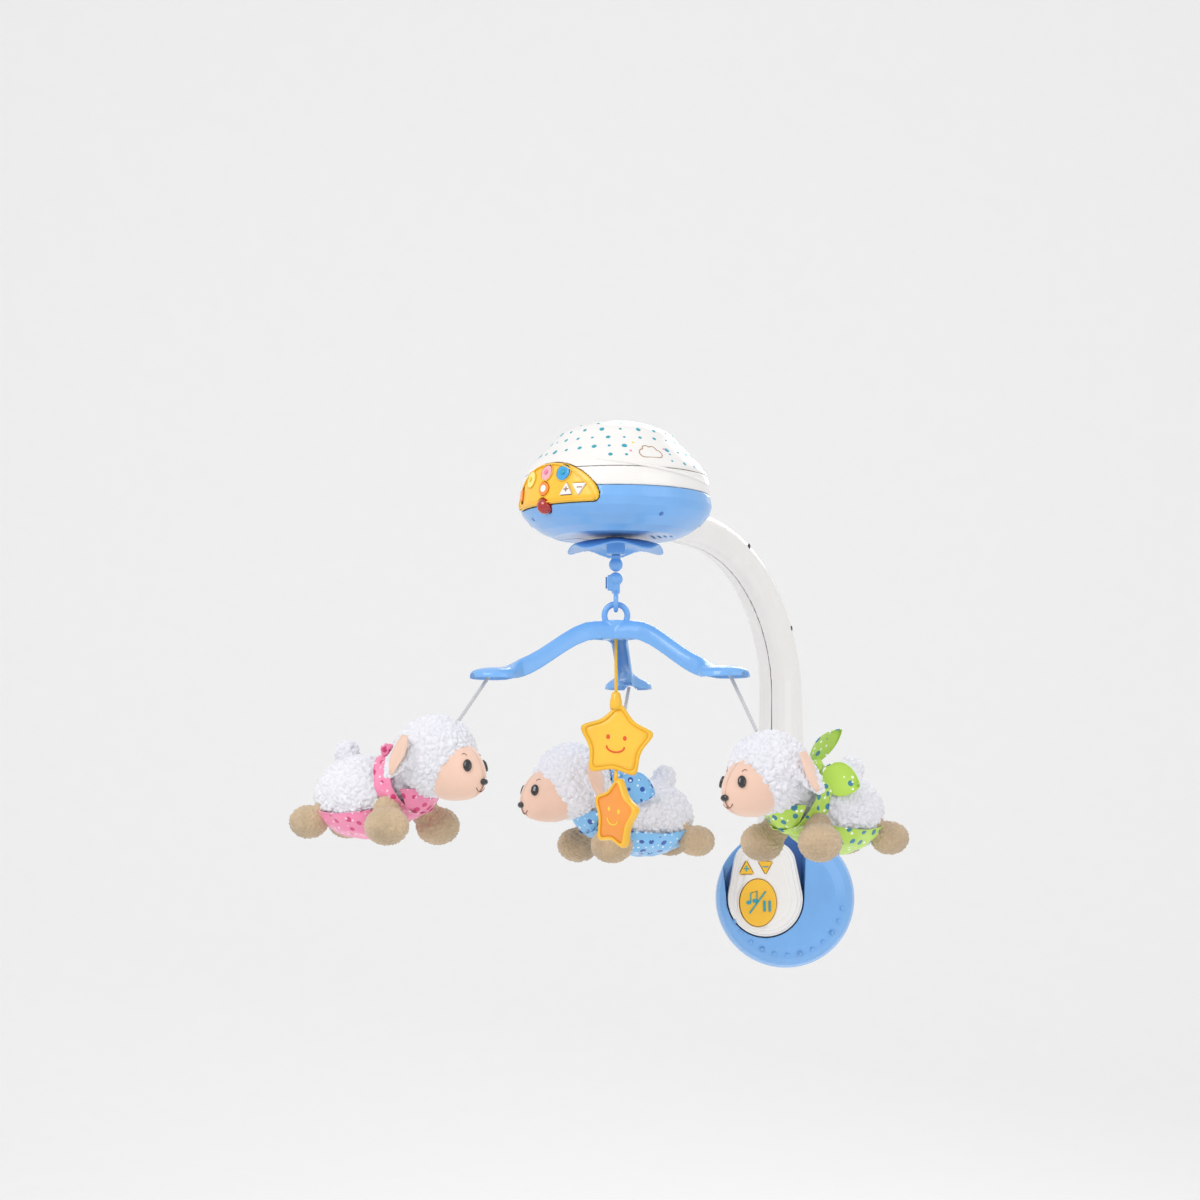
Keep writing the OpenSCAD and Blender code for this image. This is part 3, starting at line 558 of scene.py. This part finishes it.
def star(name, node, centre, yaw, roll, r, face, marks, body):
    """A rimmed star with a plain smiling face on each side."""
    c, s = math.cos(math.radians(roll)), math.sin(math.radians(roll))
    cy, sy = math.cos(math.radians(yaw)), math.sin(math.radians(yaw))
    def place(x, z, y):
        x, z = c * x + s * z, -s * x + c * z
        return Vector(centre) + Vector((cy * x - sy * y, sy * x + cy * y, z))
    outer = star_outline(r, 0.6, 10)
    def loop(scale, y):
        return [place(x * scale, z * scale, y) for x, z in outer]
    bead = [(0.86, -2.4), (0.87, -3.5), (0.92, -4.1), (0.97, -3.6), (1.0, -2.2)]
    rim = [loop(scale, y) for scale, y in bead] + [loop(scale, -y) for scale, y in reversed(bead)]
    o = add(name + "_rim", *rings_mesh(rim, closed_path=True), body, SLOTS["yellow_plastic"], "yellow_plastic")
    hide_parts(node)
    sides = []
    for y in (-1, 1):
        cap = [loop(0.88, y * 1.6), loop(0.87, y * 2.4), loop(0.7, y * 2.9), loop(0.35, y * 3.2), loop(0.01, y * 3.25)]
        v, f = rings_mesh(cap)
        sides.append((v, f if y < 0 else [tuple(reversed(q)) for q in f]))
    add(name + "_face", *merged(sides), body, face)
    for y in (-1, 1):
        eyes = []
        for x in (-8, 8):
            eyes.append(disc(place(x, 4, y * 3.1), (place(x, 4, y * 9) - place(x, 4, 0)).normalized(), 1.9, 0.5, tall=1.25))
        side = "front" if y < 0 else "back"
        add(name + "_eyes_" + side, *merged(eyes), body, marks)
        smile = [place(8.5 * math.cos(t), -4.5 + 5.5 * math.sin(t), y * 3.35)
                 for t in [math.pi + math.pi * k / 14 for k in range(15)]]
        tube(name + "_smile_" + side, smile, 0.8, body, marks, sides=8)


HX, HY = HUB.x, HUB.y
star("upper_star", "upper_star", (HX, HY, 129), 0, 6, 41, FACE_GOLD, PRINT_RED, "star_line")
star("lower_star", "lower_star", (HX, HY, 60), -55, 11, 39, FACE_ORANGE, PRINT_YELLOW, "low_star")
tube("upper_star_knob", [(HX, HY, z) for z in (160, 164, 168, 171, 174, 176, 177)], [5.5, 6, 5.8, 5.0, 4.6, 3.6, 2.2],
     "star_line", SLOTS["yellow_plastic"], "yellow_plastic", sides=20)
tube("lower_star_link", [(HX, HY, z) for z in (92, 95, 98, 101, 102.4)], [2.8, 2.2, 1.7, 1.7, 1.2],
     "low_star", SLOTS["yellow_plastic"], "yellow_plastic", sides=16)

# ---------------------------------------------------------------- lambs

# Each lamb's parts in its own frame: the head's centre is the origin and +X is forward.
HEAD = ((-6, 0, 4), (41, 38, 39))
NECK = ((-42, 0, -20), (31, 28, 28))
TRUNK = ((-88, 0, -31), (54, 41, 38))
TAIL = ((-112, 0, 9), (13, 13, 13))
FACE = ((16, 0, -9), (33, 25, 28))
FEET = [((-32, s * 38, -60), (22, 19, 18)) for s in (-1, 1)] + [((-134, s * 28, -56), (20, 17, 16)) for s in (-1, 1)]


def lamb_place(lamb):
    return Matrix.Translation(Vector(lamb["head"])) @ Matrix.Rotation(math.radians(lamb["heading"]), 4, "Z")


def remeshed(name, verts, faces, voxel, rounds, levels=1):
    """One closed skin over overlapping shapes, in millimetres, as vertices, normals and faces."""
    me = bpy.data.meshes.new(name)
    me.from_pydata([Vector(v) * MM for v in verts], [], faces)
    o = bpy.data.objects.new(name, me)
    scene.collection.objects.link(o)
    r = o.modifiers.new("cells", "REMESH")
    r.mode = "VOXEL"
    r.voxel_size = voxel * MM
    s = o.modifiers.new("round", "SMOOTH")
    s.iterations = rounds
    s.factor = 0.5
    if levels:
        d = o.modifiers.new("finer", "SUBSURF")
        d.levels = levels
        d.render_levels = levels
    done = baked(o, name)
    bpy.data.objects.remove(o)
    out = [v.co / MM for v in done.vertices], [v.normal.copy() for v in done.vertices], [tuple(p.vertices) for p in done.polygons]
    bpy.data.meshes.remove(done)
    return out


def curled(verts, normals, lump, depth, seed):
    """Tight curls: each lump of pile stands out, with finer loops on it."""
    out = []
    shift = Vector((seed * 13.7, seed * 5.1, seed * 9.3))
    for v, n in zip(verts, normals):
        q = v / lump + shift
        q = q + 0.35 * noise.noise_vector(v / (lump * 0.8) + shift)
        near = noise.voronoi(q)[0]
        rise = 1 - min(1.0, near[0] * 1.35) - 0.35 * max(0.0, 0.18 - (near[1] - near[0])) / 0.18
        fine = noise.noise(v / (lump * 0.27) + shift)
        out.append(v + n * depth * (rise - 0.5 + 0.45 * fine) + noise.noise_vector(v / (lump * 0.4) + shift) * depth * 0.22)
    return out


def exit_radius(origin, ray, shapes):
    """How far along the ray the last of these ellipsoids is left."""
    far = 0.0
    for centre, size in shapes:
        o = Vector([(origin[i] - centre[i]) / size[i] for i in range(3)])
        d = Vector([ray[i] / size[i] for i in range(3)])
        a, b, c = d.dot(d), 2 * o.dot(d), o.dot(o) - 1
        q = b * b - 4 * a * c
        if q > 0:
            far = max(far, (-b + math.sqrt(q)) / (2 * a))
    return far


def face_point(yaw, pitch, out=0.0):
    """A point on the suede face and the way it looks, with the muzzle drawn forward and down."""
    y, p = math.radians(yaw), math.radians(pitch)
    d = Vector((math.cos(p) * math.cos(y), math.cos(p) * math.sin(y), math.sin(p)))
    c, s = FACE
    n = Vector((d.x / s[0], d.y / s[1], d.z / s[2])).normalized()
    return warp(Vector((c[0] + s[0] * d.x, c[1] + s[1] * d.y, c[2] + s[2] * d.z)) + n * out), n


def warp(v):
    t = max(0.0, (v.x - 14) / 36)
    return Vector((v.x + 1.5 * t * t, v.y * (1 - 0.3 * t * t), v.z - 8.5 * t * t))


def sheet_piece(name, rows, body, lamb, closed=False, hem=None):
    """A thin cloth from rows of points in the lamb's frame, with a hem tube along the named rows."""
    place = lamb_place(lamb)
    rows = [[place @ Vector(p) for p in r] for r in rows]
    n = len(rows[0])
    verts = [p for r in rows for p in r]
    faces = []
    for j in range(len(rows) if closed else len(rows) - 1):
        k = (j + 1) % len(rows)
        for i in range(n - 1):
            faces.append((j * n + i, j * n + i + 1, k * n + i + 1, k * n + i))
    o = add(name, verts, faces, body, SLOTS[lamb["satin"]], lamb["satin"])
    for e in hem or []:
        line = [r[e] for r in rows]
        tube(name + ("_hem_%d" % (e % n)), line, 0.55, body, SLOTS[lamb["satin"]], lamb["satin"], sides=6, closed=closed)
    return o


def leaf(base, direction, side, length, width, curl):
    """A pointed flap's rows of points, cupped across and curling over along its length."""
    base, d, s = Vector(base), Vector(direction).normalized(), Vector(side).normalized()
    n = d.cross(s)
    rows = []
    for j in range(15):
        u = j / 14
        half = width / 2 * math.sin(math.pi * (0.1 + 0.9 * u)) ** 0.75 if j < 14 else 0.25
        mid = base + d * length * u + n * curl * u * u
        rows.append([mid + s * half * v + n * (1.8 * (v * v - 0.4) + 0.7 * math.sin(5 * u + 3 * v))
                     for v in [k / 4 for k in range(-4, 5)]])
    return rows


def make_lamb(key, lamb, seed):
    body = "lamb_" + key
    place = lamb_place(lamb)
    turn = place.to_3x3()
    name = "lamb_%s_" % key

    def put(points):
        return [place @ p for p in points]

    # Fleece: head, neck, trunk, tail and the backs of the ears as one curly skin.
    parts = [blob(*HEAD), blob(*NECK), blob(*TRUNK), blob(*TAIL)]
    for s in (-1, 1):
        lean = Matrix.Rotation(math.radians(s * 24), 3, "X") @ Matrix.Rotation(math.radians(22), 3, "Y")
        parts.append(blob((-15, s * 40, 4), (14, 6.5, 25), lean))
    v, n, f = remeshed(name + "skin", *merged(parts), 2.2, 5)
    fleece = add(name + "fleece", put(curled(v, n, 6.4, 2.5, seed)), f, body, SLOTS["fleece"], "fleece")
    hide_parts(name + "body")

    # Feet in looped terry.
    for i, (c, size) in enumerate(FEET):
        ankle = blob((c[0] * 0.75 - 16, c[1] * 0.72, c[2] + 14), (size[0] * 0.62, size[1] * 0.7, size[2] * 0.8))
        v, n, f = remeshed(name + "foot", *merged([blob(c, size), ankle]), 1.9, 4)
        foot = add(name + "foot_%d" % i, put(curled(v, n, 3.4, 1.3, seed + i)), f, body, SLOTS["tan_terry"], "tan_terry")
        if i == 0:
            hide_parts(name + "feet")
    # Face in suede with a centre seam.
    verts, faces = blob((0, 0, 0), (1, 1, 1), rings=40, sides=56)
    c, s = FACE
    shaped = []
    for d in verts:
        q = Vector((c[0] + s[0] * d.x, c[1] + s[1] * d.y, c[2] + s[2] * d.z))
        dent = 0.9 * math.exp(-(q.y / 1.1) ** 2) if q.x > 0 else 0
        shaped.append(warp(q - Vector((d.x, 0, d.z)) * dent + Vector((0, 0, 0.35 * noise.noise(q / 7)))))
    face = add(name + "face", put(shaped), faces, body, SUEDE)
    seam = [face_point(0, p, -0.5)[0] for p in range(60, -64, -4)]
    tube(name + "face_seam", put(seam), 0.3, body, SUEDE, sides=6)
    for side in (-1, 1):
        tag = "left" if side > 0 else "right"
        p, d = face_point(side * 40, 17, 0.1)
        add(name + "eye_" + tag, *merged([disc(place @ p, (turn @ d).normalized(), 4.0, 2.4, tall=1.45)]), body, EYE)
        p, d = face_point(side * 38, 21.5, 2.2)
        add(name + "eye_light_" + tag, *disc(place @ p, (turn @ d).normalized(), 1.0, 0.5), body, SPARK)
        brow = [face_point(side * (36 + 2 * k), 36 + 3 * math.sin(math.pi * k / 5), 0.2)[0] for k in range(6)]
        tube(name + "brow_" + tag, put(brow), 0.35, body, THREAD, sides=6)
        # The ear's lining faces forward and out.
        rows = leaf((-6, side * 38, 22), (-0.25, side * 0.34, -1), (0.93, side * 0.3, -0.15), 38, 19, side * 2.0)
        lining = []
        for r in rows:
            lining.append([place @ (q + Vector((0.5, side * 6.2, 0))) for q in r])
        me = rings_mesh(lining, caps=False)
        flat = [q for q in me[1] if max(i % 9 for i in q) - min(i % 9 for i in q) < 8]
        o = add(name + "ear_lining_" + tag, me[0], flat, body, SUEDE)
        thick = o.modifiers.new("body", "SOLIDIFY")
        thick.thickness = 1.4 * MM
        thick.offset = 0
    nose, d = face_point(0, -6, 0.2)
    add(name + "nose", *blob(place @ nose, (2.8, 4.6, 3.2), turn), body, EYE)
    mouth = [face_point(y, -30 + 9 * (abs(y) / 20) ** 2, 0.15)[0] for y in range(-20, 21, 2)]
    tube(name + "mouth", put(mouth), 0.42, body, THREAD, sides=6)
    tube(name + "lip", put([face_point(0, p, 0.15)[0] for p in range(-12, -31, -3)]), 0.35, body, THREAD, sides=6)

    # Satin: a neck band, a panel under the belly, a bib at the chest, and a pair of flaps on two of the lambs.
    axis = Vector((0.951, 0, 0.309))
    e1, e2 = Vector((0, 1, 0)), Vector((-0.309, 0, 0.951))
    band = []
    for k in range(72):
        a = 2 * math.pi * k / 72
        ray = math.cos(a) * e1 + math.sin(a) * e2
        row = []
        for t in [-1 + 2 * j / 10 for j in range(11)]:
            o = Vector((-41, 0, -20)) + axis * t * 9
            r = max(31.0, min(38.0, exit_radius(o, ray, (NECK, TRUNK, HEAD)))) + 2.6
            fold = 1.1 * math.sin(7 * a + 2.5 * t) + 0.7 * math.sin(13 * a - 4 * t)
            row.append(o + ray * (r + fold * (1 - 0.4 * abs(t))))
        band.append(row)
    scarf = sheet_piece(name + "neck_band", band, body, lamb, closed=True, hem=(0, 10))
    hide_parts(name + "scarf")
    panel = []
    for j in range(34):
        x = -36 - 88 * j / 33
        row = []
        for k in range(41):
            a = math.radians(-66 + 132 * k / 40)
            ray = Vector((0, math.sin(a), -math.cos(a)))
            o = Vector((x, 0, -31))
            r = exit_radius(o, ray, (NECK, TRUNK)) + 2.9 + 0.5 * math.sin(k * 0.8 + j * 0.35) + 0.4 * math.sin(k * 0.33 - j * 0.6)
            row.append(o + ray * r)
        panel.append(row)
    sheet_piece(name + "belly_panel", panel, body, lamb, hem=(0, 40))
    bib = []
    for j in range(16):
        p = math.radians(-10 - 80 * j / 15)
        row = []
        for k in range(17):
            y = math.radians(58 * (1 - 0.5 * j / 15) * (-1 + k / 8))
            ray = Vector((math.cos(p) * math.cos(y), math.cos(p) * math.sin(y), math.sin(p)))
            o = Vector(NECK[0])
            row.append(o + ray * (exit_radius(o, ray, (NECK, TRUNK)) + 5.2 + 0.9 * math.sin(k * 0.9 + j * 0.3)))
        bib.append(row)
    sheet_piece(name + "chest_bib", bib, body, lamb, hem=(0, 16))
    side = -1 if key == "a" else 1
    if key != "a":
        # On the second lamb the cord comes up beside the knot, so its flap leans the other way.
        foot_of_flap, way = ((-58, 0, 14), (-0.6, -0.1, 0.8)) if key == "b" else ((-50, side * 9, 15), (-0.5, side * 0.35, 0.8))
        up = leaf(foot_of_flap, way, (0.75, side * 0.3, 0.45), 40, 26, 5)
        sheet_piece(name + "flap_up", up, body, lamb, hem=(0, 8))
        out = leaf((-48, side * 27, 3), (-0.75, side * 0.55, -0.32), (-0.2, side * 0.15, 0.95), 36, 30, -4)
        sheet_piece(name + "flap_side", out, body, lamb, hem=(0, 8))
    v, n, f = remeshed(name + "knot", *blob((-47, side * 19, 10), (7, 8, 6.5)), 0.9, 2, 0)
    add(name + "knot", put(curled(v, n, 5.0, 1.2, seed)), f, body, SLOTS[lamb["satin"]], lamb["satin"])


for number, (key, lamb) in enumerate(LAMBS.items()):
    make_lamb(key, lamb, number + 1)

# ---------------------------------------------------------------- studio

world = bpy.data.worlds.new("studio")
world.use_nodes = True
world.node_tree.nodes["Background"].inputs["Color"].default_value = (1, 1, 1, 1)
world.node_tree.nodes["Background"].inputs["Strength"].default_value = 0.84
scene.world = world


def area(name, at, look, size, power):
    light = bpy.data.lights.new(name, "AREA")
    light.size = size
    light.energy = power
    o = bpy.data.objects.new(name, light)
    o.location = at
    o.rotation_euler = (Vector(look) - Vector(at)).to_track_quat("-Z", "Y").to_euler()
    scene.collection.objects.link(o)


area("key", (-1.3, -1.8, 1.6), (-0.15, -0.25, 0.15), 1.2, 19)
area("fill", (1.4, -1.6, 0.7), (-0.15, -0.25, 0.15), 1.4, 5)
area("rim", (0.3, 1.3, 1.2), (-0.15, -0.25, 0.2), 1.0, 9)

sweep = [(-5.0, -0.6), (1.6, -0.6)]
for k in range(1, 19):
    sweep.append((1.6 + 1.6 * math.sin(math.radians(5 * k)), 1.0 - 1.6 * math.cos(math.radians(5 * k))))
sweep.append((3.2, 6.0))
paper = bpy.data.meshes.new("floor")
strips = [(2 * k, 2 * k + 1, 2 * k + 3, 2 * k + 2) for k in range(len(sweep) - 1)]
paper.from_pydata([(x, y, z) for y, z in sweep for x in (-7, 7)], [], strips)
paper.shade_smooth()
floor = bpy.data.objects.new("floor", paper)
scene.collection.objects.link(floor)
floor.data.materials.append(shader("floor_paper", (0.93, 0.93, 0.93), 0.8, grain=60, bump=0.005, vary=0.004))

cam = bpy.data.cameras.new("camera")
cam.lens = 72.2
cam.sensor_width = 36
view = bpy.data.objects.new("camera", cam)
view.location = (-0.197, -2.6, 0.048)
view.rotation_euler = (math.radians(95.39), 0, 0)
scene.collection.objects.link(view)
scene.camera = view
scene.view_settings.view_transform = "Standard"
